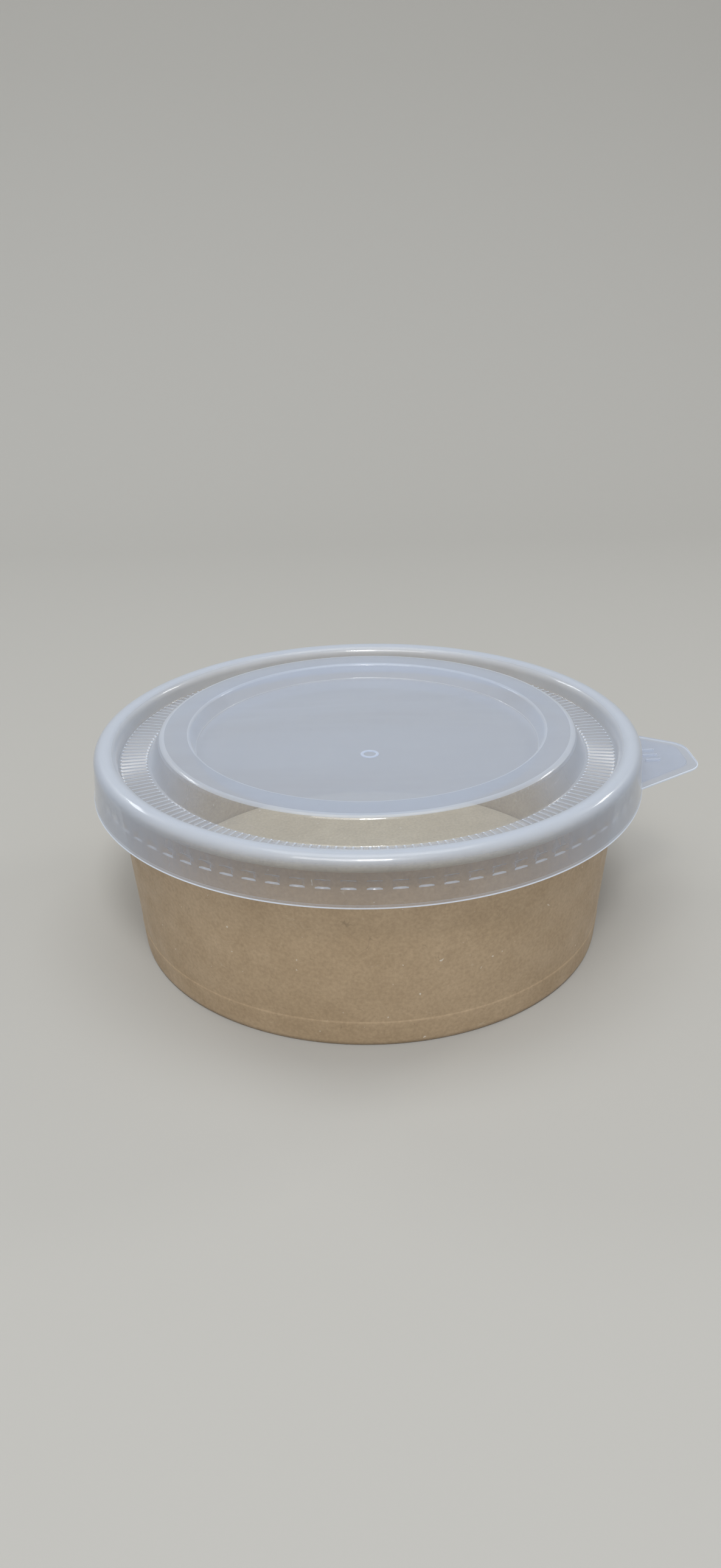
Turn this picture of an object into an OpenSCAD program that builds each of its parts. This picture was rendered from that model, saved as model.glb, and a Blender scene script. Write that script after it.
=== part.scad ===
// Paper salad bowl with a clear moulded snap lid.
// Units are millimetres, +Z is up, the foot stands on Z = 0 and the lid's tab points along +X.
// Each piece is a thin sheet, so its section is a path with a thickness, turned about the axis.

/* [Bowl] */
// Outside diameter over the rolled rim
rim_d = 150; // [130:1:180]
// Height of the bowl to the top of the rolled rim
bowl_h = 58.2; // [45:0.1:90]
// Outside diameter of the wall where it stands
foot_d = 133; // [110:1:134]
// Thickness of the coated board
board_t = 0.5; // [0.4:0.05:0.6]
// Diameter of the rolled rim's section
roll_d = 4.4; // [3.8:0.1:5]
// Height of the underside of the base disc above the foot
base_level = 6.8; // [5:0.1:12]
// Width of the lapped side seam
seam_w = 9; // [6:0.5:14]
// Direction of the side seam, in degrees from the tab
seam_at = 112; // [60:1:300]

/* [Lid] */
// Thickness of the moulded sheet
lid_t = 0.5; // [0.4:0.05:0.6]
// How far the lip stands below the top of the rim
skirt_h = 12.2; // [10:0.1:16]
// How far the lip stands out from the bead
lip_out = 1; // [0.6:0.1:2]
// Depth of the ribbed channel below the top of the bead
channel_drop = 5.2; // [4:0.1:7]
// Width of the ribbed channel
channel_w = 8.9; // [7:0.1:11]
// Height of the flat ring above the channel
ring_rise = 6.6; // [5:0.1:8]
// How far the side of the ring leans in
ring_lean = 3.2; // [2:0.1:5]
// Width of the flat ring
ring_w = 7.9; // [5:0.1:12]
// Depth of the middle recess below the ring
recess_drop = 4.4; // [3:0.1:5]
// How far the side of the recess leans in
recess_lean = 1.5; // [0.8:0.1:3]

/* [Lid details] */
// Number of radial ribs in the channel
rib_count = 192; // [96:8:200]
// Height of one rib above the channel's floor
rib_h = 0.45; // [0.3:0.05:0.8]
// Width of one rib at its foot
rib_w = 1.05; // [0.7:0.05:1.2]
// Number of snap lugs inside the skirt
lug_count = 80; // [40:4:90]
// Length of one lug along the skirt
lug_len = 3.6; // [2:0.1:3.8]
// Height of one lug
lug_h = 2.4; // [1.6:0.1:2.6]
// Diameter of the moulding gate's ring mark in the recess
gate_d = 5; // [4:0.1:8]
// How far the gate's mark lies from the middle
gate_off = 11.8; // [0:0.1:30]

/* [Tab] */
// Length of the pull tab out from the lip
tab_len = 17.5; // [12:0.5:24]
// Width of the tab across its tip before rounding
tab_tip_w = 16.2; // [14:0.2:24]
// Width of the tab where it leaves the lip
tab_root_w = 37; // [28:0.5:44]
// Thickness of the tab
tab_t = 0.6; // [0.5:0.05:0.8]
// Width of the thin border round the tab's pad
tab_border = 3; // [2:0.1:4]

/* [Fit] */
// Clearance between the lid and the rolled rim
fit_gap = 0.3; // [0.2:0.05:0.5]
// Room for the seal between layers of board
glue_gap = 0.05; // [0.03:0.01:0.1]

/* [Hidden] */
$fn = 96;
arc_step = 15;

// the rolled rim's section, with its middle at (roll_x, roll_z)
roll_r = roll_d / 2;
roll_mid = roll_r - board_t / 2;
roll_x = rim_d / 2 - roll_r;
roll_z = bowl_h - roll_r;
roll_tail = 0.7 * roll_mid;

// the wall's lean, and the radius of a face that lies some depth inside the wall's outside face
wall_lean = atan2(roll_x - roll_r + board_t - foot_d / 2, roll_z);
function wall_x(z, depth) = foot_d / 2 + z * tan(wall_lean) - depth / cos(wall_lean);

// the foot: wall, skirt of the base and turned-up hem, one inside the other
fold_r = 0.7 * board_t;
skirt_depth = 1.5 * board_t + glue_gap;
hem_depth = 2.5 * board_t + 2 * glue_gap;
base_fold_r = 0.8;
hem_top = base_level - base_fold_r;
base_z = base_level + board_t / 2;
skirt_end = board_t + 3 * glue_gap;

// the seam's lap over the outside of the wall
seam_start = 1;
seam_end = roll_z - roll_r - 0.6;
seam_sag = pow(seam_w, 2) / (4 * foot_d);
seam_root = 0.35;

// the lid, all along the middle of its sheet
bead_mid = roll_r + fit_gap + lid_t / 2;
bead_top = roll_z + bead_mid + lid_t / 2;
skirt_top_x = roll_x + bead_mid;
skirt_foot_x = skirt_top_x + 0.65;
lip_x = roll_x + bead_mid + lid_t / 2 + lip_out;
lip_z = bowl_h - skirt_h;
lip_rise = 0.95;
plug_x = roll_x - bead_mid - 0.35;
channel_z = bead_top - channel_drop - lid_t / 2;
ring_foot_x = plug_x - channel_w;
ring_x = ring_foot_x - ring_lean;
ring_z = channel_z + ring_rise;
recess_x = ring_x - ring_w;
recess_foot_x = recess_x - recess_lean;
recess_z = ring_z - recess_drop;
corner_r = 0.7;
function skirt_x(z) = skirt_foot_x
    + (skirt_top_x - skirt_foot_x) * (z - lip_z - lip_rise) / (roll_z - lip_z - lip_rise);

// ribs run over the flat of the channel and stop short of its corners
rib_z = channel_z + lid_t / 2;
rib_in = ring_foot_x + corner_r;
rib_out = plug_x - corner_r - 0.05;
rib_root = lid_t / 2;
rib_top = 0.45 * rib_w;

// lugs sit below the rolled rim and stop short of its outside, so the lid can lift
lug_tip_x = rim_d / 2 + 0.6 * fit_gap;
lug_top = roll_z - roll_r - 0.7;
lug_slope = 0.8;

// the tab lies at the height of the lip
tab_z = lip_z + 0.1;
tab_tip_x = lip_x + tab_len;
tab_tip_r = 5.5;
tab_from_x = skirt_foot_x + 0.05;
pad_rise = 0.3;
bar_len = 4.6;
bar_r = 0.5;
bar_pitch = 3.4;
gate_ring_w = 0.8;
gate_rise = 0.2;

// points on a path of corners [x, y, rounding], moved sideways to the left by d
function unit(v) = v / norm(v);
function left_of(v) = [-v[1], v[0]];
function flat(p) = [p[0], p[1]];
function heading(p, i) = unit(flat(p[i + 1]) - flat(p[i]));
function turn(a, b) = atan2(a[0] * b[1] - a[1] * b[0], a[0] * b[0] + a[1] * b[1]);
function corner(p, i, d) =
    let (a = heading(p, i - 1), b = heading(p, i), c = flat(p[i]), r = p[i][2])
    let (t = turn(a, b), s = t < 0 ? -1 : 1)
    r == 0
        ? [c + d * (left_of(a) + left_of(b)) / (1 + left_of(a) * left_of(b))]
        : let (start = c - a * r * tan(abs(t) / 2), middle = start + s * r * left_of(a))
          let (n = max(2, ceil(abs(t) / arc_step)), from = atan2(-s * left_of(a)[1], -s * left_of(a)[0]))
          [for (k = [0 : n]) middle + (r - s * d) * [cos(from + t * k / n), sin(from + t * k / n)]];
function side(p, d) =
    let (last = len(p) - 1)
    concat(
        [flat(p[0]) + d * left_of(heading(p, 0))],
        [for (i = [1 : last - 1]) each corner(p, i, d)],
        [flat(p[last]) + d * left_of(heading(p, last - 1))]
    );
function reversed(v) = [for (i = [len(v) - 1 : -1 : 0]) v[i]];

// a sheet of even thickness along a path
module sheet(p, t) {
    polygon(concat(side(p, t / 2), reversed(side(p, -t / 2))));
}

wall_path = [
    [wall_x(hem_top, hem_depth), hem_top, 0],
    [wall_x(board_t / 2, hem_depth), board_t / 2, fold_r],
    [wall_x(board_t / 2, board_t / 2), board_t / 2, fold_r],
    [wall_x(roll_z + roll_mid, board_t / 2), roll_z + roll_mid, roll_mid],
    [roll_x + roll_mid, roll_z + roll_mid, roll_mid],
    [roll_x + roll_mid, roll_z - roll_mid, roll_mid],
    [roll_x - roll_tail, roll_z - roll_mid, 0]
];

base_path = [
    [0, base_z, 0],
    [wall_x(base_z, skirt_depth), base_z, base_fold_r],
    [wall_x(skirt_end, skirt_depth), skirt_end, 0]
];

lid_path = [
    [lip_x - lid_t / 2, lip_z + lid_t / 4, 0],
    [skirt_foot_x, lip_z + lip_rise, 0.5],
    [skirt_top_x, roll_z + bead_mid, bead_mid],
    [roll_x - bead_mid, roll_z + bead_mid, bead_mid],
    [plug_x, channel_z, corner_r],
    [ring_foot_x, channel_z, corner_r],
    [ring_x, ring_z, 1],
    [recess_x, ring_z, corner_r],
    [recess_foot_x, recess_z, corner_r],
    [0, recess_z, 0]
];

// one board blank: turned-up hem, flat foot, leaning wall and rolled rim, closed by a lapped seam
module bowl_wall() {
    color([0.62, 0.45, 0.28])
    union() {
        rotate_extrude()
            sheet(wall_path, board_t);
        seam_lap();
    }
}

// the blank's free end lies over its other end, so one side of the lap is a step and the other runs out
module seam_lap() {
    rotate([0, 0, seam_at])
        translate([wall_x(seam_start, 0), 0, seam_start])
            rotate([0, wall_lean, 0])
                linear_extrude(height = (seam_end - seam_start) / cos(wall_lean))
                    polygon([
                        [-seam_root, -seam_w / 2],
                        [board_t - seam_sag, -seam_w / 2],
                        [board_t * 0.55, 0],
                        [-seam_root, seam_w / 2]
                    ]);
}

// the base disc, with its edge turned down into the foot's fold
module bowl_base() {
    color([0.66, 0.49, 0.31])
        rotate_extrude()
            sheet(base_path, board_t);
}

// one moulding: lip, skirt, bead over the rim, ribbed channel, raised ring, recess and tab
module lid() {
    color([0.82, 0.85, 0.9, 0.5])
    union() {
        rotate_extrude()
            sheet(lid_path, lid_t);
        ribs();
        lugs();
        tab();
        gate_mark();
    }
}

module ribs() {
    for (k = [0 : rib_count - 1])
        rotate([0, 0, (k + 0.5) * 360 / rib_count])
            translate([rib_in, 0, rib_z])
                rotate([90, 0, 90])
                    linear_extrude(height = rib_out - rib_in)
                        polygon([
                            [-rib_w / 2, -rib_root],
                            [rib_w / 2, -rib_root],
                            [rib_top / 2, rib_h],
                            [-rib_top / 2, rib_h]
                        ]);
}

module lugs() {
    for (k = [0 : lug_count - 1])
        rotate([90, 0, (k + 0.5) * 360 / lug_count])
            translate([0, 0, -lug_len / 2])
                linear_extrude(height = lug_len)
                    polygon([
                        [skirt_x(lug_top - lug_h), lug_top - lug_h],
                        [skirt_x(lug_top), lug_top],
                        [lug_tip_x, lug_top - lug_slope],
                        [lug_tip_x, lug_top - lug_h + lug_slope]
                    ]);
}

// the tab's outline, drawn in from its edge by a border
function tab_outline(border) = [
    [roll_x, -tab_root_w / 2 - 3 + border, 0],
    [tab_tip_x - border, -tab_tip_w / 2 + border * 0.6, tab_tip_r - border * 0.6],
    [tab_tip_x - border, tab_tip_w / 2 - border * 0.6, tab_tip_r - border * 0.6],
    [roll_x, tab_root_w / 2 + 3 - border, 0]
];

module tab() {
    difference() {
        union() {
            translate([0, 0, tab_z])
                linear_extrude(height = tab_t)
                    polygon(side(tab_outline(0), 0));
            translate([0, 0, tab_z])
                linear_extrude(height = tab_t + pad_rise)
                    polygon(side(tab_outline(tab_border), 0));
        }
        translate([0, 0, lip_z - 1])
            cylinder(r = tab_from_x, h = lip_rise + tab_t + 4);
    }
    for (k = [-1 : 1])
        translate([lip_x + 2.6, k * bar_pitch, tab_z + tab_t + pad_rise])
            rotate([0, 90, 0])
                cylinder(r = bar_r, h = bar_len, $fn = 24);
}

// a plain raised ring where the moulding was filled
module gate_mark() {
    translate([0, -gate_off, recess_z])
        difference() {
            cylinder(d = gate_d, h = lid_t / 2 + gate_rise);
            translate([0, 0, lid_t / 2])
                cylinder(d = gate_d - 2 * gate_ring_w, h = gate_rise + 1);
        }
}

bowl_wall();
bowl_base();
lid();
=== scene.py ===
"""Looks of the paper salad bowl with its frosted snap lid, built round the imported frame."""
import math

import bpy
import numpy as np
from mathutils import Matrix, Vector


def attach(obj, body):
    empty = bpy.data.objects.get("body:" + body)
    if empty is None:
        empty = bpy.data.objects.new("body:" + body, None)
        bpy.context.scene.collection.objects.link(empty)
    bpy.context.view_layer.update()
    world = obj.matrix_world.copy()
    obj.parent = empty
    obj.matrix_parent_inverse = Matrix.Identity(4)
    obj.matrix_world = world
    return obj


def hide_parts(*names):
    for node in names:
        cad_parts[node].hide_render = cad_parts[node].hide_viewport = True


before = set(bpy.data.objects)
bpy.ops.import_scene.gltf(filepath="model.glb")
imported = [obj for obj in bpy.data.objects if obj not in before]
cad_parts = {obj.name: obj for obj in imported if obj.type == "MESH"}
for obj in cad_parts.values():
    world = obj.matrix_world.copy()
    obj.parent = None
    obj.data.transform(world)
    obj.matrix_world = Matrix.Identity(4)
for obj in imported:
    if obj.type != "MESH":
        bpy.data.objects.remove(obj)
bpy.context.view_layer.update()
scene = bpy.context.scene
scene.view_settings.view_transform = "Standard"

MM = 0.001
TAU = 2 * math.pi
BLACK = (0, 0, 0)
WHITE = (1, 1, 1)

# Sizes in millimetres, the same as in the part's source
RIM_D = 150.0
BOWL_H = 58.2
FOOT_D = 133.0
BOARD_T = 0.5
ROLL_D = 4.4
BASE_LEVEL = 6.8
SEAM_W = 9.0
SEAM_AT = 112.0
LID_T = 0.5
SKIRT_H = 12.2
LIP_OUT = 1.0
CHANNEL_DROP = 5.2
CHANNEL_W = 8.9
RING_RISE = 6.6
RING_LEAN = 3.2
RING_W = 7.9
RECESS_DROP = 4.4
RECESS_LEAN = 1.5
RIB_COUNT = 192
RIB_H = 0.45
RIB_W = 1.05
LUG_COUNT = 80
LUG_LEN = 3.6
LUG_H = 2.4
GATE_D = 5.0
GATE_OFF = 11.8
TAB_LEN = 17.5
TAB_TIP_W = 16.2
TAB_ROOT_W = 37.0
TAB_T = 0.6
TAB_BORDER = 3.0
FIT_GAP = 0.3
GLUE_GAP = 0.05

# Roundings and small forms of the finer meshes, in millimetres
TAB_TIP_R = 7.0
RING_CORNER_R = 1.8
CORNER_R = 0.7
LIP_BEND_R = 0.5
LIP_RISE = 0.95
FOLD_R = 0.7 * BOARD_T
BASE_FOLD_R = 0.8
LUG_SLOPE = 0.8
LUG_ROUND = 0.35
LUG_END = 0.7
LAP_START = 0.6
CRIMP_OUT = 0.16
CRIMP_START = 0.3
CRIMP_ABOVE = 0.9
FADE = 0.5

# Counts of the meshes, the steps along a rounding and the angle up to which faces blend, in degrees
ARC_STEP = 7.5
INSIDE_ARC_STEP = 10
TAB_ARC_STEP = 6
WALL_STEPS = 300
LAP_STEPS = 8
BASE_STEPS = 240
DISC_STEPS = 96
GATE_STEPS = 64
USUAL_SMOOTH = 40
LID_SMOOTH = 32
PLATE_SMOOTH = 15
# radii in millimetres of the rings in the lid's flat middle, with fewer points on the small ones
DISC_RADII = (36, 24, 12, 4)
DISC_COARSE_BELOW = 20

# Bowl: the rolled rim, the folded foot and the base disc
ROLL_R = ROLL_D / 2
ROLL_MID = ROLL_R - BOARD_T / 2
ROLL_X = RIM_D / 2 - ROLL_R
ROLL_Z = BOWL_H - ROLL_R
WALL_LEAN = math.atan2(ROLL_X - ROLL_R + BOARD_T - FOOT_D / 2, ROLL_Z)
SKIRT_DEPTH = 1.5 * BOARD_T + GLUE_GAP
HEM_DEPTH = 2.5 * BOARD_T + 2 * GLUE_GAP
HEM_TOP = BASE_LEVEL - BASE_FOLD_R
BASE_Z = BASE_LEVEL + BOARD_T / 2
SKIRT_END = BOARD_T + 3 * GLUE_GAP

# Lid: bead, skirt, lip, channel, ring and recess, along the middle of the sheet
BEAD_MID = ROLL_R + FIT_GAP + LID_T / 2
BEAD_TOP = ROLL_Z + BEAD_MID + LID_T / 2
SKIRT_TOP_X = ROLL_X + BEAD_MID
SKIRT_FOOT_X = SKIRT_TOP_X + 0.65
LIP_X = ROLL_X + BEAD_MID + LID_T / 2 + LIP_OUT
LIP_Z = BOWL_H - SKIRT_H
PLUG_X = ROLL_X - BEAD_MID - 0.35
CHANNEL_Z = BEAD_TOP - CHANNEL_DROP - LID_T / 2
RING_FOOT_X = PLUG_X - CHANNEL_W
RING_X = RING_FOOT_X - RING_LEAN
RING_Z = CHANNEL_Z + RING_RISE
RECESS_X = RING_X - RING_W
RECESS_FOOT_X = RECESS_X - RECESS_LEAN
RECESS_Z = RING_Z - RECESS_DROP
RIB_IN = RING_FOOT_X + CORNER_R
RIB_OUT = PLUG_X - CORNER_R - 0.05
RIB_MID = (RIB_IN + RIB_OUT) / 2
LUG_TIP_X = RIM_D / 2 + 0.6 * FIT_GAP
LUG_TOP = ROLL_Z - ROLL_R - 0.7
LUG_FOOT = LUG_TOP - LUG_H
TAB_Z = LIP_Z + 0.1
TAB_TIP_X = LIP_X + TAB_LEN


def wall_x(z, depth):
    """Radius of the leaning wall at a height, at a depth in from its outside."""
    return FOOT_D / 2 + z * math.tan(WALL_LEAN) - depth / math.cos(WALL_LEAN)


# Sections are paths of corners (x, z, rounding), moved sideways to their left
def unit(v):
    return v / np.linalg.norm(v)


def left_of(v):
    return np.array([-v[1], v[0]])


def side(path, d, step=ARC_STEP):
    """Points along a path of rounded corners, moved to the left by d."""
    pts = [np.array(p[:2], float) for p in path]
    heads = [unit(b - a) for a, b in zip(pts, pts[1:])]
    out = [pts[0] + d * left_of(heads[0])]
    for i in range(1, len(pts) - 1):
        a, b, r = heads[i - 1], heads[i], path[i][2]
        turn = math.atan2(a[0] * b[1] - a[1] * b[0], a @ b)
        s = -1 if turn < 0 else 1
        if r == 0:
            out.append(pts[i] + d * (left_of(a) + left_of(b)) / (1 + left_of(a) @ left_of(b)))
            continue
        middle = pts[i] - a * r * math.tan(abs(turn) / 2) + s * r * left_of(a)
        n = max(2, math.ceil(abs(turn) / math.radians(step)))
        start = math.atan2(-s * left_of(a)[1], -s * left_of(a)[0])
        for k in range(n + 1):
            t = start + turn * k / n
            out.append(middle + (r - s * d) * np.array([math.cos(t), math.sin(t)]))
    out.append(pts[-1] + d * left_of(heads[-1]))
    return out


WALL_PATH = [
    (wall_x(HEM_TOP, HEM_DEPTH), HEM_TOP, 0),
    (wall_x(BOARD_T / 2, HEM_DEPTH), BOARD_T / 2, FOLD_R),
    (wall_x(BOARD_T / 2, BOARD_T / 2), BOARD_T / 2, FOLD_R),
    (wall_x(ROLL_Z + ROLL_MID, BOARD_T / 2), ROLL_Z + ROLL_MID, ROLL_MID),
    (ROLL_X + ROLL_MID, ROLL_Z + ROLL_MID, ROLL_MID),
    (ROLL_X + ROLL_MID, ROLL_Z - ROLL_MID, ROLL_MID),
    (ROLL_X - 0.7 * ROLL_MID, ROLL_Z - ROLL_MID, 0),
]
BASE_PATH = [
    (0, BASE_Z, 0),
    (wall_x(BASE_Z, SKIRT_DEPTH), BASE_Z, BASE_FOLD_R),
    (wall_x(SKIRT_END, SKIRT_DEPTH), SKIRT_END, 0),
]
LID_PATH = [
    (LIP_X - LID_T / 2, LIP_Z + LID_T / 4, 0),
    (SKIRT_FOOT_X, LIP_Z + LIP_RISE, LIP_BEND_R),
    (SKIRT_TOP_X, ROLL_Z + BEAD_MID, BEAD_MID),
    (ROLL_X - BEAD_MID, ROLL_Z + BEAD_MID, BEAD_MID),
    (PLUG_X, CHANNEL_Z, CORNER_R),
    (RING_FOOT_X, CHANNEL_Z, CORNER_R),
    (RING_X, RING_Z, RING_CORNER_R),
    (RECESS_X, RING_Z, CORNER_R),
    (RECESS_FOOT_X, RECESS_Z, CORNER_R),
    (0, RECESS_Z, 0),
]


class Builder:
    """Collects rings of points about the axis and the faces between them, in millimetres."""

    def __init__(self):
        self.verts = []
        self.faces = []
        self.paint = []

    def ring(self, angles, place):
        """A ring of points, place(angle) giving (radius, height)."""
        start = len(self.verts)
        for a in angles:
            r, z = place(a)
            self.verts.append((r * math.cos(a), r * math.sin(a), z))
        return start, list(angles)

    def round_ring(self, angles, r, z):
        return self.ring(angles, lambda a: (r, z))

    def point(self, x, y, z):
        self.verts.append((x, y, z))
        return len(self.verts) - 1

    def stitch(self, low, high, paint, flip=False):
        """Faces between two rings, whatever their counts; paint gives a column's material."""
        (s0, a0), (s1, a1) = low, high
        n0, n1 = len(a0), len(a1)
        made = []
        if n0 == n1:
            for k in range(n0):
                j = (k + 1) % n0
                made.append((s0 + k, s0 + j, s1 + j, s1 + k))
        else:
            i, j = 0, 0
            while i < n0 or j < n1:
                next0 = a0[i + 1] if i + 1 < n0 else a0[(i + 1) % n0] + TAU
                next1 = a1[j + 1] if j + 1 < n1 else a1[(j + 1) % n1] + TAU
                if j >= n1 or (i < n0 and next0 <= next1):
                    made.append((s0 + i % n0, s0 + (i + 1) % n0, s1 + j % n1))
                    i += 1
                else:
                    made.append((s0 + i % n0, s1 + (j + 1) % n1, s1 + j % n1))
                    j += 1
        self.faces += [tuple(reversed(f)) for f in made] if flip else made
        self.paint += [paint(k) for k in range(len(made))]

    def close(self, ring, centre, flip=False, paint=0):
        start, angles = ring
        n = len(angles)
        made = [(start + k, start + (k + 1) % n, centre) for k in range(n)]
        self.faces += [tuple(reversed(f)) for f in made] if flip else made
        self.paint += [paint] * n


def make_object(name, verts, faces, materials, paint, smooth_deg):
    mesh = bpy.data.meshes.new(name)
    mesh.from_pydata([Vector(v) * MM for v in verts], [], faces)
    for mat in materials:
        mesh.materials.append(mat)
    mesh.polygons.foreach_set("material_index", paint)
    mesh.validate()
    mesh.update()
    obj = bpy.data.objects.new(name, mesh)
    scene.collection.objects.link(obj)
    bpy.context.view_layer.objects.active = obj
    bpy.ops.object.select_all(action="DESELECT")
    obj.select_set(True)
    bpy.ops.object.mode_set(mode="EDIT")
    bpy.ops.mesh.select_all(action="SELECT")
    bpy.ops.mesh.normals_make_consistent(inside=False)
    bpy.ops.object.mode_set(mode="OBJECT")
    bpy.ops.object.shade_smooth_by_angle(angle=math.radians(smooth_deg))
    return obj


def join(objs, name):
    bpy.ops.object.select_all(action="DESELECT")
    for obj in objs:
        obj.select_set(True)
    bpy.context.view_layer.objects.active = objs[0]
    bpy.ops.object.join()
    objs[0].name = name
    return objs[0]


def even(n):
    return [TAU * k / n for k in range(n)]


def smooth(t):
    t = min(max(t, 0.0), 1.0)
    return t * t * (3 - 2 * t)


# Bowl wall: the blank's section turned about the axis, with the lap of the side seam on its outside
# half the turn, in radians, in which the lap's raw edge steps down
LAP_RAW_EDGE = 0.0006
# even angles stay this many half laps away from the seam
SEAM_ROOM = 1.15
# a run of the section longer than this, in millimetres, is the straight wall
LONG_RUN = 30
# heights of more rows on the straight outside, for the crimp and the lap's ends
WALL_ROWS = (
    1.2, 1.6, 6.6, 7.2, 7.35, 7.5, 7.62, 7.75, 8.2, 14, 22, 31, 40, 47, 52.4, 52.8, 53.2,
)
# the two materials of a board piece, by place in its list
FRONT, BACK = range(2)


def build_wall():
    b = Builder()
    seam = math.radians(SEAM_AT)
    half = SEAM_W / 2 / (FOOT_D / 2)
    angles = sorted(
        [a for a in even(WALL_STEPS) if abs(a - seam) > half * SEAM_ROOM]
        + [seam - half - LAP_RAW_EDGE, seam - half + LAP_RAW_EDGE]
        + [seam - half + half * 2 * k / LAP_STEPS for k in range(1, LAP_STEPS + 1)]
    )
    seam_end = ROLL_Z - ROLL_R - LAP_START

    def lap(a, z):
        """How far the lap lifts the outside face."""
        t = (a - (seam - half)) / (2 * half)
        if t < 0 or t > 1:
            return 0.0
        ends = smooth((z - LAP_START) / FADE) * smooth((seam_end - z) / FADE)
        return BOARD_T * (1 - t) * ends

    def crimp(z):
        """The foot's pressed layers stand a little proud below the base disc."""
        upper = smooth((BASE_LEVEL + CRIMP_ABOVE - z) / FADE)
        return CRIMP_OUT * upper * smooth((z - CRIMP_START) / FADE)

    outside = side(WALL_PATH, -BOARD_T / 2)
    inside = side(WALL_PATH, BOARD_T / 2)
    rows = []
    for p, q in zip(outside, outside[1:]):
        rows.append(p)
        if abs(q[1] - p[1]) > LONG_RUN:
            rows += [p + (q - p) * (z - p[1]) / (q[1] - p[1]) for z in WALL_ROWS]
    rows.append(outside[-1])
    rings = []
    for x, z in rows:
        on_wall = x > wall_x(z, 0.0) - 0.02 and BOARD_T < z < ROLL_Z - ROLL_R
        if on_wall:
            rings.append(b.ring(angles, lambda a, x=x, z=z: (x + lap(a, z) + crimp(z), z)))
        else:
            rings.append(b.round_ring(angles, x, z))
    for x, z in reversed(inside):
        rings.append(b.round_ring(angles, x, z))
    for k, (low, high) in enumerate(zip(rings, rings[1:] + rings[:1])):
        face = BACK if k >= len(rows) else FRONT
        b.stitch(low, high, paint=lambda column, face=face: face)
    return make_object("bowl_wall_board", b.verts, b.faces, [board, inner_board_painted_light], b.paint, USUAL_SMOOTH)


def build_base():
    b = Builder()
    angles = even(BASE_STEPS)
    top = side(BASE_PATH, BOARD_T / 2)
    low = side(BASE_PATH, -BOARD_T / 2)
    rings = [b.round_ring(angles, x, z) for x, z in top[1:] + low[:0:-1]]
    for k, (one, two) in enumerate(zip(rings, rings[1:])):
        face = BACK if k >= len(top) - 2 else FRONT
        b.stitch(one, two, paint=lambda column, face=face: face)
    b.close(rings[0], b.point(0, 0, top[0][1]), paint=FRONT)
    b.close(rings[-1], b.point(0, 0, low[0][1]), flip=True, paint=BACK)
    return make_object("bowl_base_board", b.verts, b.faces, [base_board_painted_light, board], b.paint, USUAL_SMOOTH)


# Lid: the outside carries the ribs, the inside carries the lugs, and the two meet at the lip
# places in the lid's list of materials
SHEET, EDGE_HIGHLIGHT, RIB_HIGHLIGHT, CLEAR, PAD, STEP_HIGHLIGHT, PLUG_PAINTED_LIGHT, LUG_HIGHLIGHT = range(8)
# the share of the lip's first rise that carries its painted highlight line
LIP_HIGHLIGHT_SHARE = 0.38
# a rib's crest as a share of its foot's width, and the height at the crest's two sides
CREST_SHARE = 0.45
SHOULDER = 0.86
# runs of the section longer than these, in millimetres, are the channel's floor and the skirt
FLOOR_RUN = 4
SKIRT_RUN = 6
# digits that tell two angles apart
ANGLE_DIGITS = 9


def outside_paint(i, p, q):
    """Material of the lid's outside between two points of its section, counted from the lip.

    The margins, in millimetres, only tell the runs of the section apart.
    """
    x, z = (p + q) / 2
    if i == 0:
        # painted highlight: the lip's lowest band takes the whitest copy
        return EDGE_HIGHLIGHT
    # painted highlights: the lip's middle band takes the milkier rib copy and its bend the whiter step
    # copy
    if z < LIP_Z + 1.3 and x > LIP_X - 1.0:
        return RIB_HIGHLIGHT if i == 1 else STEP_HIGHLIGHT
    # painted light: the recess wall takes the whiter step copy, brighter where the lamps light it
    if RECESS_Z + 0.3 < z < RING_Z and q[0] < RECESS_X + 0.2:
        return STEP_HIGHLIGHT
    # painted highlight: the ring's rounded corners take the whiter step copy, bright lines along them
    ring_corner = math.hypot(q[0] - p[0], q[1] - p[1]) <= 0.5 and z >= RING_Z - 0.25
    if ring_corner and (x > RING_X - 1.2 or x < RECESS_X + 0.5):
        return STEP_HIGHLIGHT
    # painted light: the wall inside the bead takes a milkier copy, brighter as if lit from the front
    if p[0] > PLUG_X - 0.5 and q[0] < ROLL_X - 1 and CHANNEL_Z + 0.5 < p[1] < BEAD_TOP - 0.5:
        return PLUG_PAINTED_LIGHT
    if q[0] > RING_X - 0.2 and p[0] < RING_FOOT_X + 0.2 and q[1] - p[1] > 1:
        return CLEAR
    return SHEET


# painted highlight: rib crests take a milkier, whiter copy and the valleys a clearer one
def rib_crest_highlight(column):
    return RIB_HIGHLIGHT if column % 5 in (1, 2) else CLEAR


# painted highlight: the rib ends take the whitest copy, bright dots along the channel
def rib_end_highlight(column):
    return EDGE_HIGHLIGHT if column % 5 in (1, 2) else CLEAR


def on_sheet(column):
    return SHEET


# rows across the ribbed channel: radius, share of the rib's height, paint of the band that follows
RIB_ROWS = (
    (RIB_OUT + 0.05, 0.0, rib_end_highlight),
    (RIB_OUT, 0.55, rib_end_highlight),
    (RIB_OUT - 0.2, 0.95, rib_end_highlight),
    (RIB_OUT - 0.5, 1.0, rib_crest_highlight),
    (RIB_MID, 1.0, rib_crest_highlight),
    (RIB_IN + 0.5, 1.0, rib_end_highlight),
    (RIB_IN + 0.2, 0.95, rib_end_highlight),
    (RIB_IN, 0.55, rib_end_highlight),
    (RIB_IN - 0.05, 0.0, on_sheet),
)


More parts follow.
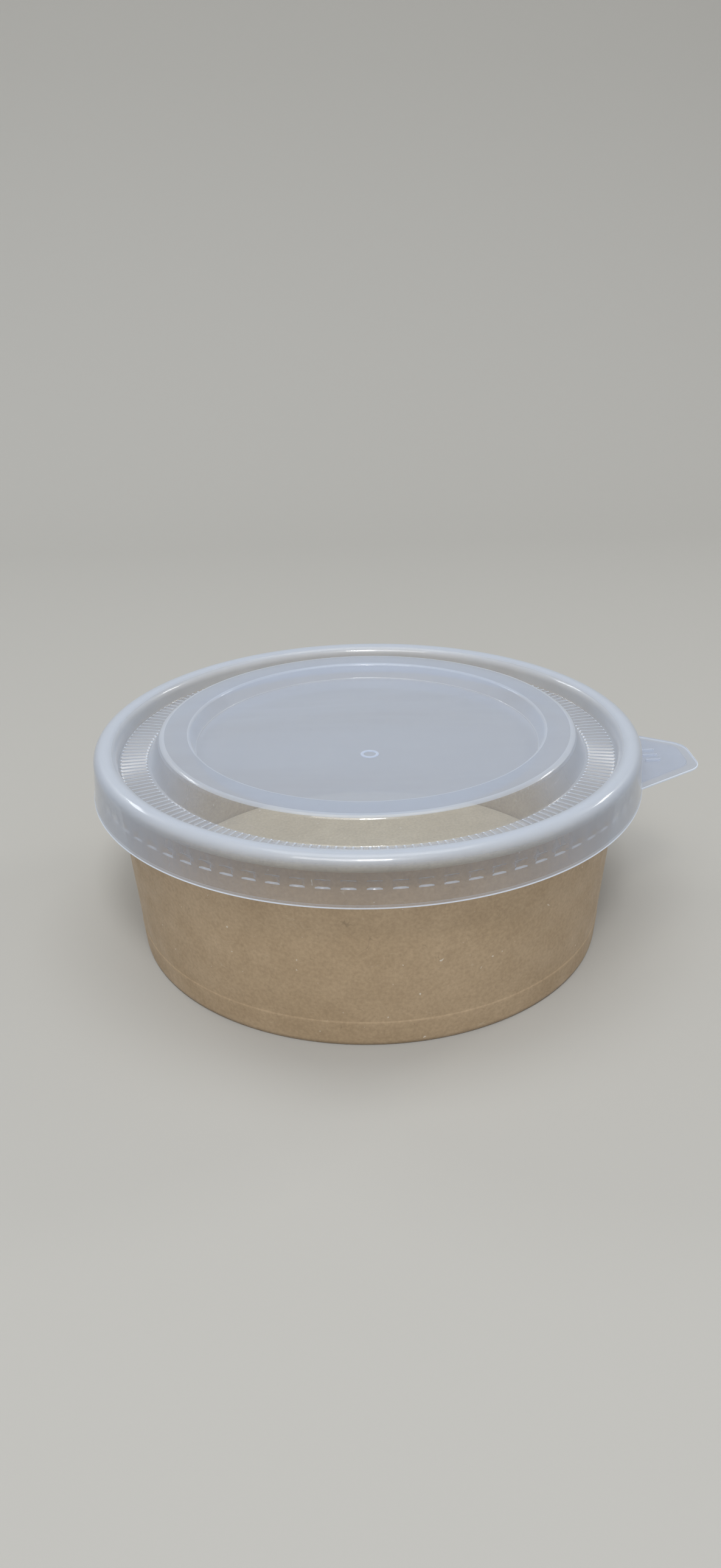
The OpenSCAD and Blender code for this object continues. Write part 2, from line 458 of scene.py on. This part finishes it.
def lid_outside(b):
    """Builds the outside from the lip to the middle and gives back the ring at the lip."""
    pitch = TAU / RIB_COUNT
    foot = RIB_W / 2 / RIB_MID
    crest = foot * CREST_SHARE
    fine, plain, lifts = [], [], {}
    for k in range(RIB_COUNT):
        c = (k + 0.5) * pitch
        fine += [c - foot, c - crest, c, c + crest, c + foot]
        plain += [c - foot, c + crest]
        for angle, lift in ((c - crest, SHOULDER), (c, 1.0), (c + crest, SHOULDER)):
            lifts[round(angle, ANGLE_DIGITS)] = lift

    top = side(LID_PATH, -LID_T / 2)
    # the lip's painted highlight line is a band of its own
    top.insert(1, top[0] + LIP_HIGHLIGHT_SHARE * (top[1] - top[0]))
    floor_z = CHANNEL_Z + LID_T / 2
    rings, bands = [], []
    for i, (p, q) in enumerate(zip(top, top[1:])):
        rings.append(b.round_ring(plain, p[0], p[1]))
        level = abs(p[1] - floor_z) < 1e-6 and abs(q[1] - floor_z) < 1e-6
        if not (level and p[0] - q[0] > FLOOR_RUN):
            bands.append(lambda column, shade=outside_paint(i, p, q): shade)
            continue
        bands.append(on_sheet)
        for r, share, paint in RIB_ROWS:
            def place(a, r=r, share=share):
                return r, floor_z + RIB_H * share * lifts.get(round(a, ANGLE_DIGITS), 0.0)
            rings.append(b.ring(fine, place))
            bands.append(paint)
    top_z = RECESS_Z + LID_T / 2
    for r in DISC_RADII:
        rings.append(b.round_ring(plain if r > DISC_COARSE_BELOW else even(DISC_STEPS), r, top_z))
        bands.append(on_sheet)
    for one, two, paint in zip(rings, rings[1:], bands):
        b.stitch(one, two, paint=paint)
    b.close(rings[-1], b.point(0, 0, top_z))
    return rings[0]


def lid_inside(b):
    """Builds the inside from the lip to the middle and gives back the ring at the lip."""
    pitch = TAU / LUG_COUNT
    half = LUG_LEN / 2 / LUG_TIP_X
    end = LUG_END / LUG_TIP_X
    angles, raised = [], set()
    for k in range(LUG_COUNT):
        c = (k + 0.5) * pitch
        crest = [c - half + end, c, c + half - end]
        angles += [c - half] + crest + [c + half, c + pitch / 2]
        raised.update(round(a, ANGLE_DIGITS) for a in crest)

    low = side(LID_PATH, LID_T / 2, INSIDE_ARC_STEP)
    # heights across a lug, its share of the way in, and the paint of the band above
    lug_rows = (
        # painted highlight: the band over the foot takes the lug copy and the band under the top the rib
        # copy, the lug's bright lower and faint upper lines
        (LUG_FOOT, 0.0, LUG_HIGHLIGHT),
        (LUG_FOOT + LUG_ROUND, 0.7, SHEET),
        (LUG_FOOT + LUG_SLOPE, 1.0, SHEET),
        (LUG_TOP - LUG_SLOPE, 1.0, SHEET),
        (LUG_TOP - LUG_ROUND, 0.7, RIB_HIGHLIGHT),
        (LUG_TOP, 0.0, SHEET),
    )
    rows = []
    for p, q in zip(low, low[1:]):
        rows.append((p[0], p[1], 0.0, SHEET))
        if q[1] - p[1] > SKIRT_RUN and p[0] > ROLL_X:
            for z, share, shade in lug_rows:
                rows.append((p[0] + (q[0] - p[0]) * (z - p[1]) / (q[1] - p[1]), z, share, shade))
    rings, shades = [], []
    for x, z, share, shade in rows:
        def place(a, x=x, z=z, share=share):
            if share and round(a, ANGLE_DIGITS) in raised:
                return x + (LUG_TIP_X - x) * share, z
            return x, z
        rings.append(b.ring(angles, place))
        shades.append(shade)
    low_z = RECESS_Z - LID_T / 2
    for r in DISC_RADII:
        rings.append(b.round_ring(angles if r > DISC_COARSE_BELOW else even(DISC_STEPS), r, low_z))
        shades.append(SHEET)
    for one, two, shade in zip(rings, rings[1:], shades):
        b.stitch(one, two, flip=True, paint=lambda c, shade=shade: shade if c % 6 < 4 else SHEET)
    b.close(rings[-1], b.point(0, 0, low_z), flip=True)
    return rings[0]


def build_lid():
    b = Builder()
    outer_lip = lid_outside(b)
    inner_lip = lid_inside(b)
    # painted highlight: the lip's end takes the whitest copy
    b.stitch(outer_lip, inner_lip, flip=True, paint=lambda column: EDGE_HIGHLIGHT)
    return make_object("lid_moulding", b.verts, b.faces, LID_MATERIALS, b.paint, LID_SMOOTH)


# keeps the corners of an outline that is drawn in from running off
MITRE_LIMIT = 0.4


def slab(outline, levels, side_paint, top_paint):
    """A closed plate from one outline: levels are (inset, height) from the underside to the top."""
    verts, faces = [], []
    n = len(outline)
    pts = [np.array(p, float) for p in outline]
    normals = []
    for k in range(n):
        a = unit(pts[k] - pts[k - 1])
        c = unit(pts[(k + 1) % n] - pts[k])
        m = -(left_of(a) + left_of(c))
        normals.append(m / max(MITRE_LIMIT, 1 + left_of(a) @ left_of(c)))
    for inset, z in levels:
        for p, m in zip(pts, normals):
            q = p - m * inset
            verts.append((q[0], q[1], z))
    for level in range(len(levels) - 1):
        for k in range(n):
            j = (k + 1) % n
            faces.append((level * n + k, level * n + j, (level + 1) * n + j, (level + 1) * n + k))
    paint = [side_paint] * len(faces) + [top_paint] * 2
    faces.append(tuple(reversed(range(n))))
    faces.append(tuple(range((len(levels) - 1) * n, len(levels) * n)))
    return verts, faces, paint, PLATE_SMOOTH


ROOT_REACH = 3.0
ROOT_STEPS = 25
ROOT_REPEATS = 30
BORDER_TAPER = 0.6


def tab_outline(border, root):
    """The tab's outline, drawn in by a border, with a root that follows the skirt's foot."""
    tip = TAB_TIP_X - border
    half = TAB_TIP_W / 2 - border * BORDER_TAPER
    r = TAB_TIP_R - border * BORDER_TAPER
    wide = TAB_ROOT_W / 2 + ROOT_REACH - border
    pts = side([(ROLL_X, -wide, 0), (tip, -half, r), (tip, half, r), (ROLL_X, wide, 0)], 0, TAB_ARC_STEP)
    # where the straight edge meets the root, found by repeating
    first, second = pts[0], pts[1]
    slope = (second[1] - first[1]) / (second[0] - first[0])
    x = first[0]
    for _ in range(ROOT_REPEATS):
        y = first[1] + slope * (x - first[0])
        x = math.sqrt(max(root * root - y * y, 0))
    start = math.atan2(first[1] + slope * (x - first[0]), x)
    arc = [(root * math.cos(t), root * math.sin(t)) for t in np.linspace(-start, start, ROOT_STEPS)]
    return [tuple(p) for p in pts[1:-1]] + arc


BAR_FROM_LIP = 2.6
BAR_LEN = 4.6
BAR_R = 0.5
BAR_PITCH = 3.4
BAR_SIDES = 16
BAR_STEPS = 20
BAR_LEAST_CAP = 0.02
PAD_H = 0.3


def grip_bar(y, z):
    """One bar with rounded ends, lying along the tab."""
    verts, faces = [], []
    n = BAR_SIDES
    for i in range(BAR_STEPS + 1):
        run = i / BAR_STEPS * BAR_LEN
        cap = 1.0
        for from_end in (run, BAR_LEN - run):
            if from_end < BAR_R:
                cap = math.sqrt(max(BAR_LEAST_CAP, 1 - (1 - from_end / BAR_R) ** 2))
        for j in range(n):
            a = TAU * j / n
            across, up = BAR_R * cap * math.cos(a), BAR_R * cap * math.sin(a)
            verts.append((LIP_X + BAR_FROM_LIP + run, y + across, z + up))
    for i in range(BAR_STEPS):
        for j in range(n):
            h = (j + 1) % n
            faces.append((i * n + j, i * n + h, (i + 1) * n + h, (i + 1) * n + j))
    faces.append(tuple(range(n)))
    faces.append(tuple(reversed(range(BAR_STEPS * n, (BAR_STEPS + 1) * n))))
    # painted highlight: the bars take the milkier rib copy
    return verts, faces, [RIB_HIGHLIGHT] * len(faces), USUAL_SMOOTH


def build_tab():
    root = SKIRT_FOOT_X + 0.05
    top = TAB_Z + TAB_T
    # painted highlight: the plate's sides take the whitest copy, a bright line along its edge
    plate = slab(tab_outline(0, root), [
        (0.22, TAB_Z), (0.06, TAB_Z + 0.06), (0, TAB_Z + 0.2),
        (0, top - 0.2), (0.06, top - 0.06), (0.22, top),
    ], EDGE_HIGHLIGHT, CLEAR)
    pad = slab(tab_outline(TAB_BORDER, root + 0.02), [
        (0, top - 0.2), (0, top + 0.12), (0.08, top + 0.24), (0.25, top + PAD_H),
    ], PAD, PAD)
    return [plate, pad] + [grip_bar(k * BAR_PITCH, top + PAD_H) for k in (-1, 0, 1)]


def build_gate():
    """The plain ring where the moulding was filled."""
    b = Builder()
    angles = even(GATE_STEPS)
    top = RECESS_Z + LID_T / 2
    section = [(0, -0.1), (0, 0.12), (0.15, 0.2), (0.6, 0.2), (0.75, 0.12), (0.8, -0.1)]
    rings = [b.round_ring(angles, GATE_D / 2 - inset, top + rise) for inset, rise in section]
    for one, two in zip(rings, rings[1:] + rings[:1]):
        # painted highlight: the gate ring takes the whiter step copy
        b.stitch(one, two, paint=lambda column: STEP_HIGHLIGHT)
    return [(x, y - GATE_OFF, z) for x, y, z in b.verts], b.faces, b.paint, USUAL_SMOOTH


# Node helpers
def feed(nt, socket, value):
    """Links a node's output to a socket, or sets a plain value on it."""
    if hasattr(value, "is_output"):
        nt.links.new(value, socket)
    elif socket.type == "RGBA":
        socket.default_value = (*value, 1)
    else:
        socket.default_value = value


def node(nt, kind, **inputs):
    """A new node with its inputs fed by name, an underscore standing for a space."""
    made = nt.nodes.new(kind)
    for name, value in inputs.items():
        feed(nt, made.inputs[name.replace("_", " ")], value)
    return made


def new_material(name):
    mat = bpy.data.materials.new(name)
    mat.use_nodes = True
    mat.node_tree.nodes.clear()
    return mat, mat.node_tree


def ramp(nt, source, stops):
    made = nt.nodes.new("ShaderNodeValToRGB")
    elements = made.color_ramp.elements
    while len(elements) < len(stops):
        elements.new(0.5)
    for element, (position, colour) in zip(elements, stops):
        element.position = position
        element.color = (*colour, 1)
    feed(nt, made.inputs[0], source)
    return made.outputs[0]


def grey(value):
    return (value, value, value)


def mix_colour(nt, share, one, two, blend="MIX"):
    made = nt.nodes.new("ShaderNodeMix")
    made.data_type = "RGBA"
    made.blend_type = blend
    # the node's colour sockets are the seventh and eighth
    for place, value in ((0, share), (6, one), (7, two)):
        feed(nt, made.inputs[place], value)
    return made.outputs[2]


def mix_shader(nt, share, one, two):
    made = nt.nodes.new("ShaderNodeMixShader")
    for place, value in enumerate((share, one, two)):
        feed(nt, made.inputs[place], value)
    return made.outputs[0]


def maths(nt, operation, *values):
    made = nt.nodes.new("ShaderNodeMath")
    made.operation = operation
    for socket, value in zip(made.inputs, values):
        feed(nt, socket, value)
    return made.outputs[0]


def noise(nt, vector, scale, detail, rough=0.5, distort=0.0):
    return node(
        nt, "ShaderNodeTexNoise", Vector=vector,
        Scale=scale, Detail=detail, Roughness=rough, Distortion=distort,
    ).outputs["Fac"]


def stretched(nt, vector, scale, turn=0.0):
    made = node(nt, "ShaderNodeMapping", Vector=vector, Scale=scale, Rotation=(0, 0, turn))
    return made.outputs[0]


def rise(nt, value, start, end, top=1.0):
    """A smooth step from 0 at start to top at end, both in millimetres."""
    made = node(
        nt, "ShaderNodeMapRange", Value=value, From_Min=start * MM, From_Max=end * MM, To_Max=top,
    )
    made.interpolation_type = "SMOOTHSTEP"
    return made.outputs["Result"]


PALE_FIBRE = (0.7, 0.6, 0.45)
SPECK = (0.85, 0.8, 0.7)


def kraft(name, light, dark, roughness):
    """Coated kraft board: cloudy mottling, fine fibres light and dark, pale specks, satin film."""
    mat, nt = new_material(name)
    coord = node(nt, "ShaderNodeTexCoord").outputs["Object"]

    def threads(source, level, breaks):
        """Thin lines where a noise crosses a level, broken into short lengths."""
        lines = ramp(nt, source, [(level - 0.01, BLACK), (level, WHITE), (level + 0.01, BLACK)])
        kept = ramp(nt, noise(nt, coord, breaks, 1), [(0.62, BLACK), (0.66, WHITE)])
        return maths(nt, "MULTIPLY", lines, kept)

    clouds = noise(nt, coord, 38, 2)
    blotch = noise(nt, coord, 150, 3, 0.55)
    grain = noise(nt, coord, 1100, 3, 0.6)
    colour = mix_colour(nt, ramp(nt, clouds, [(0.32, BLACK), (0.68, WHITE)]), dark, light)
    mottled = ramp(nt, blotch, [(0.3, (0.9, 0.89, 0.88)), (0.7, WHITE)])
    colour = mix_colour(nt, 0.75, colour, mottled, "MULTIPLY")
    fine = ramp(nt, grain, [(0.3, (0.8, 0.785, 0.77)), (0.7, grey(1.05))])
    colour = mix_colour(nt, 0.8, colour, fine, "MULTIPLY")
    fibres = threads(noise(nt, coord, 300, 0, 0.4, 0.4), 0.5, 210)
    colour = mix_colour(nt, maths(nt, "MULTIPLY", fibres, 0.5), colour, tuple(0.45 * c for c in dark))
    upright = stretched(nt, coord, (1, 1, 1.5))
    pale = threads(noise(nt, upright, 260, 0, 0.4, 0.5), 0.54, 170)
    colour = mix_colour(nt, maths(nt, "MULTIPLY", pale, 0.3), colour, PALE_FIBRE)
    specks = ramp(nt, noise(nt, coord, 900, 0), [(0.85, BLACK), (0.88, WHITE)])
    colour = mix_colour(nt, maths(nt, "MULTIPLY", specks, 0.6), colour, SPECK)
    rough = ramp(nt, blotch, [(0.3, grey(roughness + 0.1)), (0.7, grey(roughness - 0.08))])
    coarse = maths(nt, "MULTIPLY", blotch, 0.6)
    height = maths(nt, "ADD", maths(nt, "MULTIPLY", grain, 0.5), coarse)
    bump = node(nt, "ShaderNodeBump", Strength=0.12, Distance=0.0002, Height=height)
    surface = node(
        nt, "ShaderNodeBsdfPrincipled", Base_Color=colour, Roughness=rough, Normal=bump.outputs[0],
    )
    node(nt, "ShaderNodeOutputMaterial", Surface=surface.outputs[0])
    return mat


FILM = (0.98, 0.985, 1.0)
BEAD_TOP_HIGHLIGHT = (0.72, 0.765, 0.83)
MIDDLE_HAZE = 0.4
SOFT_SHINE = 0.34
FACING_GLOSS = 0.04
SHADOW_LOSS = 0.6


def frosted(name, stops, tint, bead=0.0, shine=0.07, thrown_on=0.42):
    """Thin frosted plastic: a milky haze that thickens towards grazing, over a clear sheet with gloss.

    stops give the haze from facing to grazing, bead the strength of the painted highlight on the bead's
    top, shine the roughness of the sharper gloss, and thrown_on the share of the haze's light that goes
    through.
    """
    mat, nt = new_material(name)
    coord = node(nt, "ShaderNodeTexCoord").outputs["Object"]
    streaks = stretched(nt, coord, (0.22, 1.0, 1.0), math.radians(25))
    flow = noise(nt, streaks, 40, 3, distort=0.6)
    facing = node(nt, "ShaderNodeLayerWeight", Blend=0.5).outputs["Facing"]
    haze = ramp(nt, facing, [(place, grey(share)) for place, share in stops])
    haze = maths(nt, "MULTIPLY", haze, ramp(nt, flow, [(0.3, grey(0.84)), (0.7, grey(1.03))]))
    milk = tint
    if bead:
        # painted highlight: the bead is made hazier and whiter towards its top, where the light falls on
        # it
        parts = node(nt, "ShaderNodeSeparateXYZ", Vector=coord).outputs
        xx = maths(nt, "MULTIPLY", parts["X"], parts["X"])
        yy = maths(nt, "MULTIPLY", parts["Y"], parts["Y"])
        reach = maths(nt, "SQRT", maths(nt, "ADD", xx, yy))
        level = rise(nt, parts["Z"], ROLL_Z - 0.6, BEAD_TOP - 0.1, bead)
        bead_top_highlight_share = maths(nt, "MULTIPLY", level, rise(nt, reach, PLUG_X - 0.3, PLUG_X + 1.4))
        clear_share = maths(nt, "SUBTRACT", 1.0, haze)
        haze = maths(nt, "ADD", haze, maths(nt, "MULTIPLY", bead_top_highlight_share, clear_share))
        # the middle, inside the ring, is given a haze of its own
        middle = rise(nt, reach, RING_X + 0.5, RECESS_X - 0.5, MIDDLE_HAZE)
        haze = maths(nt, "MAXIMUM", haze, middle)
        milk = mix_colour(nt, bead_top_highlight_share, tint, BEAD_TOP_HIGHLIGHT)
    # frosted plastic scatters most light forwards, so it throws only a weak shadow
    shadow = node(nt, "ShaderNodeLightPath").outputs["Is Shadow Ray"]
    kept = maths(nt, "SUBTRACT", 1.0, maths(nt, "MULTIPLY", shadow, SHADOW_LOSS))
    haze = maths(nt, "MULTIPLY", haze, kept)
    back = node(nt, "ShaderNodeBsdfDiffuse", Color=milk).outputs[0]
    through = node(nt, "ShaderNodeBsdfTranslucent", Color=milk).outputs[0]
    body = mix_shader(nt, thrown_on, back, through)
    clear = node(nt, "ShaderNodeBsdfTransparent", Color=FILM).outputs[0]
    sheet = mix_shader(nt, haze, clear, body)
    bump = node(nt, "ShaderNodeBump", Strength=0.02, Distance=0.0003, Height=flow).outputs[0]
    sharp = node(nt, "ShaderNodeBsdfGlossy", Color=WHITE, Roughness=shine, Normal=bump).outputs[0]
    soft = node(nt, "ShaderNodeBsdfGlossy", Color=WHITE, Roughness=SOFT_SHINE).outputs[0]
    gloss = mix_shader(nt, 0.5, sharp, soft)
    # the same gloss from both sides of the thin sheet
    grazing = maths(nt, "MULTIPLY", maths(nt, "POWER", facing, 5.0), 1 - FACING_GLOSS)
    surface = mix_shader(nt, maths(nt, "ADD", grazing, FACING_GLOSS), sheet, gloss)
    node(nt, "ShaderNodeOutputMaterial", Surface=surface)
    return mat


board = kraft("kraft_outside", (0.525, 0.39, 0.25), (0.47, 0.343, 0.212), 0.45)
# painted light: the inside and the base disc's top are lighter copies of the kraft, standing in for the
# light inside the bowl
inner_board_painted_light = kraft("kraft_inside_painted_light", (0.65, 0.565, 0.42), (0.6, 0.515, 0.375), 0.42)
base_board_painted_light = kraft("kraft_base_disc_painted_light", (0.73, 0.66, 0.5), (0.68, 0.61, 0.46), 0.42)
MILK = (0.56, 0.62, 0.735)
LID_MATERIALS = [
    # the sheet carries the painted highlight on the bead's top
    frosted(
        "frosted_sheet", [(0.0, 0.05), (0.12, 0.08), (0.3, 0.19), (0.58, 0.58), (1.0, 0.92)],
        MILK, bead=0.55,
    ),
    # partly the whiter scatter of thick edges, partly painted highlight lines and dots on the lip, rib
    # ends and tab
    frosted(
        "frosted_edge_highlight", [(0.0, 0.75), (0.35, 0.8), (0.6, 0.9), (1.0, 0.96)],
        (0.8, 0.88, 1.0), thrown_on=0.15,
    ),
    # painted highlight: a milkier, whiter copy for rib crests, grip bars, the lip's middle band and the
    # lugs' upper line
    frosted(
        "frosted_rib_highlight", [(0.0, 0.22), (0.3, 0.42), (0.58, 0.7), (1.0, 0.92)],
        (0.66, 0.72, 0.82), shine=0.3,
    ),
    frosted("clear_border", [(0.0, 0.05), (0.3, 0.13), (0.58, 0.36), (1.0, 0.8)], MILK, shine=0.25),
    frosted("frosted_pad", [(0.0, 0.05), (0.3, 0.14), (0.58, 0.34), (1.0, 0.85)], MILK),
    # painted light: a whiter copy for the recess wall, the ring's corners, the lip's bend and the gate
    # ring
    frosted(
        "frosted_step_highlight", [(0.0, 0.5), (0.35, 0.54), (0.6, 0.64), (1.0, 0.92)], (0.72, 0.79, 0.91),
    ),
    # painted light: a milkier copy that brightens the wall inside the bead
    frosted("frosted_plug_painted_light", [(0.0, 0.36), (0.5, 0.42), (1.0, 0.85)], (0.74, 0.8, 0.9)),
    # painted highlight: the bright lower line of each lug
    frosted(
        "frosted_lug_highlight", [(0.0, 0.64), (0.5, 0.74), (1.0, 0.94)],
        (0.79, 0.86, 0.97), thrown_on=0.25,
    ),
]

wall = build_wall()
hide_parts("bowl_wall")
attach(wall, "bowl")

base = build_base()
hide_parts("bowl_base")
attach(base, "bowl")

shells = [build_lid()]
for number, (verts, faces, paint, smooth_deg) in enumerate(build_tab() + [build_gate()]):
    name = "lid_detail_%d" % number
    shells.append(make_object(name, verts, faces, LID_MATERIALS, paint, smooth_deg))
lid = join(shells, "lid_moulding")
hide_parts("lid")
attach(lid, "lid")

# Stage: a pale sweep, soft lamps and the photograph's camera, in metres
SWEEP_REACH = 3.0
SWEEP_BEND_Y = 0.45
SWEEP_BEND_R = 0.35
SWEEP_STEPS = 12
FLOOR_COLOUR = (0.47, 0.458, 0.43)


def build_stage():
    path = [(-SWEEP_REACH, 0.0), (SWEEP_BEND_Y, 0.0)]
    for k in range(1, SWEEP_STEPS + 1):
        t = k / SWEEP_STEPS * math.pi / 2
        path.append((SWEEP_BEND_Y + SWEEP_BEND_R * math.sin(t), SWEEP_BEND_R * (1 - math.cos(t))))
    path.append((SWEEP_BEND_Y + SWEEP_BEND_R, SWEEP_REACH))
    verts, faces = [], []
    for y, z in path:
        verts += [(-SWEEP_REACH, y, z), (SWEEP_REACH, y, z)]
    for k in range(len(path) - 1):
        faces.append((2 * k, 2 * k + 1, 2 * k + 3, 2 * k + 2))
    mesh = bpy.data.meshes.new("stage_sweep")
    mesh.from_pydata(verts, [], faces)
    for polygon in mesh.polygons:
        polygon.use_smooth = True
    obj = bpy.data.objects.new("stage_sweep", mesh)
    scene.collection.objects.link(obj)
    mat, nt = new_material("stage_paper")
    surface = node(
        nt, "ShaderNodeBsdfPrincipled",
        Base_Color=FLOOR_COLOUR, Roughness=0.9, Specular_IOR_Level=0.1,
    )
    node(nt, "ShaderNodeOutputMaterial", Surface=surface.outputs[0])
    mesh.materials.append(mat)


def area_lamp(name, place, target, size, watts, colour):
    data = bpy.data.lights.new(name, "AREA")
    data.shape = "RECTANGLE"
    data.size, data.size_y = size
    data.energy = watts
    data.color = colour
    obj = bpy.data.objects.new(name, data)
    scene.collection.objects.link(obj)
    obj.location = place
    obj.rotation_mode = "QUATERNION"
    obj.rotation_quaternion = (Vector(target) - Vector(place)).to_track_quat("-Z", "Y")


# The camera that was fitted to the photograph: lengths in millimetres, angles in degrees
PHOTO_H_PX = 2576
FOCAL_PX = 1936.0
CAMERA_DIST = 335.7
CAMERA_ELEV = 25.36
CAMERA_ROLL = -1.045
AIM_X = -2.06
AIM_Z = 40.95
# the lip's radius that the fit was made with
FIT_LIP_R = 76.0
# the turn that brings the tab to its place
TAB_TURN = -2.8
SENSOR = 36.0


def build_camera():
    elev, roll = math.radians(CAMERA_ELEV), math.radians(CAMERA_ROLL)
    forward = Vector((0, math.cos(elev), -math.sin(elev)))
    level = Vector((1, 0, 0))
    upright = level.cross(forward)
    right = math.cos(roll) * level + math.sin(roll) * upright
    up = -math.sin(roll) * level + math.cos(roll) * upright
    place = (Vector((AIM_X, 0, AIM_Z)) - CAMERA_DIST * forward) * (LIP_X / FIT_LIP_R * MM)
    pose = Matrix((
        (right.x, up.x, -forward.x, place.x),
        (right.y, up.y, -forward.y, place.y),
        (right.z, up.z, -forward.z, place.z),
        (0, 0, 0, 1),
    ))
    data = bpy.data.cameras.new("camera")
    data.sensor_width = SENSOR
    data.lens = SENSOR * FOCAL_PX / PHOTO_H_PX
    data.clip_start = 0.01
    data.clip_end = 20
    cam = bpy.data.objects.new("camera", data)
    scene.collection.objects.link(cam)
    cam.matrix_world = Matrix.Rotation(math.radians(TAB_TURN), 4, "Z") @ pose
    scene.camera = cam


COOL = (0.95, 0.98, 1)
build_stage()
area_lamp("lamp_top", (0.0, 0.05, 1.2), (0, 0, 0), (0.9, 0.5), 3.9, COOL)
area_lamp("lamp_front", (-0.25, -0.7, 1.1), (0, 0, 0.04), (0.6, 0.35), 3.5, (1, 0.99, 0.98))
area_lamp("lamp_spot", (0.0, -0.5, 0.75), (0, 0, 0.05), (0.15, 0.1), 2.0, (0.97, 0.99, 1))
area_lamp("lamp_back", (-0.55, 0.5, 0.6), (0, 0, 0.05), (0.3, 0.08), 0.9, COOL)
area_lamp("lamp_right", (0.7, 0.35, 0.55), (0, 0, 0.05), (0.2, 0.08), 0.9, (1, 0.99, 0.96))

world = bpy.data.worlds.new("studio")
scene.world = world
world.use_nodes = True
back = world.node_tree.nodes["Background"]
back.inputs["Color"].default_value = (0.93, 0.96, 1.0, 1)
back.inputs["Strength"].default_value = 0.5

build_camera()
